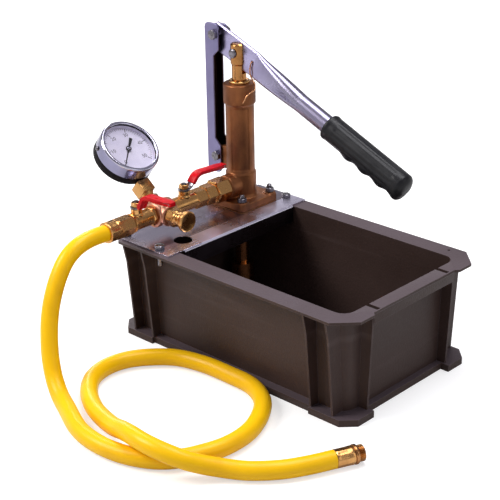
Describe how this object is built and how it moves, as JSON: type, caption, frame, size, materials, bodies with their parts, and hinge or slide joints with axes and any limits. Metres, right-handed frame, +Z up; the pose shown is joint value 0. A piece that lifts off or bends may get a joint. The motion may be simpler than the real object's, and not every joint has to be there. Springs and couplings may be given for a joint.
{
  "type": "hydrostatic test pump",
  "caption": "Hand lever test pump on a rectangular plastic water tank, with ball valves, a relief valve, a pressure gauge and an outlet hose.",
  "frame": {"origin": "middle of the tank's underside, on the floor", "axes": "+X along the tank, away from the pump; -Y to the side with the hose; +Z up"},
  "size_m": [0.4557, 0.432, 0.3441],
  "materials": {
    "tank_plastic": "moulded, satin",
    "plate_steel": "polished sheet",
    "link_steel": "bright steel",
    "fastener": "zinc plated",
    "cast_bronze": "cast, brown",
    "brass": "machined",
    "manifold_bronze": "cast, pinkish",
    "red_vinyl": "dipped vinyl",
    "black_rubber": "moulded",
    "black_plastic": "painted",
    "chrome": "bright",
    "window_glass": "clear",
    "dial_white": "matt white",
    "copper_wire": "drawn copper",
    "hose_yellow": "smooth jacket",
    "nylon": "moulded",
    "stainless": "ground"
  },
  "bodies": {
    "stand": {"tank": "tank_plastic", "mounting_plate": "plate_steel", "plate_screw_front": "fastener", "plate_screw_back": "fastener", "plate_screw_front_corner": "fastener", "plate_screw_back_corner": "fastener", "flange_gasket": "black_rubber", "flange_screw_front_left": "fastener", "flange_screw_front_right": "fastener", "flange_screw_back_right": "fastener", "flange_screw_back_left": "fastener", "pump_body": "cast_bronze", "gland_nut": "brass", "gland_packing": "black_rubber", "suction_pipe": "brass", "suction_strainer": "nylon", "port_connector": "brass", "hex_nipple": "brass", "pump_valve_body": "brass", "manifold": "manifold_bronze", "hose_valve_body": "brass", "relief_valve_body": "brass", "gauge_socket": "brass", "gauge_case": "black_plastic", "gauge_bezel": "chrome", "gauge_window": "window_glass", "gauge_dial": "dial_white", "gauge_case_screw": "fastener", "hose_adapter": "brass", "hose_ferrule": "brass", "outlet_hose": "hose_yellow", "hose_end_ferrule": "brass", "hose_end_nut": "brass"},
    "lever": {"lever": "link_steel", "hand_grip": "black_rubber", "tie_wire": "copper_wire"},
    "link": {"link_channel": "link_steel", "link_upper_bolt": "fastener", "link_lower_bolt": "fastener"},
    "plunger": {"plunger_rod": "brass", "plunger_seal": "black_rubber", "rod_pin": "stainless"},
    "pump_valve_turning": {"pump_valve_ball": "stainless", "pump_valve_handle": "fastener", "pump_valve_sleeve": "red_vinyl", "pump_valve_stem_nut": "brass"},
    "hose_valve_turning": {"hose_valve_ball": "stainless", "hose_valve_handle": "fastener", "hose_valve_sleeve": "red_vinyl", "hose_valve_stem_nut": "brass"},
    "relief_knob": {"relief_knob": "brass"},
    "pointer": {"gauge_pointer": "black_plastic"},
    "suction_ball": {"suction_ball": "stainless"}
  },
  "joints": [
    {"name": "link_swing", "type": "hinge", "parent": "stand", "child": "link", "pos_m": [-0.1657, 0.0628, 0.1792], "axis": [0, -1, 0], "range_deg": [0, 0.8]},
    {"name": "lever_pivot", "type": "hinge", "parent": "link", "child": "lever", "pos_m": [-0.1665, 0.0628, 0.3286], "axis": [0, -1, 0], "range_deg": [0, 50]},
    {"name": "plunger_slide", "type": "slide", "parent": "stand", "child": "plunger", "axis": [0, 0, 1], "range_m": [0, 0.0304]},
    {"name": "pump_valve_turn", "type": "hinge", "parent": "stand", "child": "pump_valve_turning", "pos_m": [-0.135, -0.033, 0.1506], "axis": [0, 0, 1], "range_deg": [-90, 0]},
    {"name": "hose_valve_turn", "type": "hinge", "parent": "stand", "child": "hose_valve_turning", "pos_m": [-0.135, -0.1075, 0.1506], "axis": [0, 0, 1], "range_deg": [-90, 0]},
    {"name": "relief_turn", "type": "hinge", "parent": "stand", "child": "relief_knob", "pos_m": [-0.0972, -0.071, 0.1506], "axis": [1, 0, 0], "range_deg": [0, 540]},
    {"name": "pointer_turn", "type": "hinge", "parent": "stand", "child": "pointer", "pos_m": [-0.18477, -0.071, 0.21574], "axis": [-0.6225, 0, -0.7826], "range_deg": [0, 270]},
    {"name": "suction_ball_lift", "type": "slide", "parent": "stand", "child": "suction_ball", "axis": [0, 0, 1], "range_m": [0, 0.003]}
  ],
  "couplings": [
    {"joint": "link_swing", "follows": "lever_pivot", "ratio": 0.016},
    {"joint": "plunger_slide", "follows": "lever_pivot", "m_per_rad": 0.0348}
  ]
}
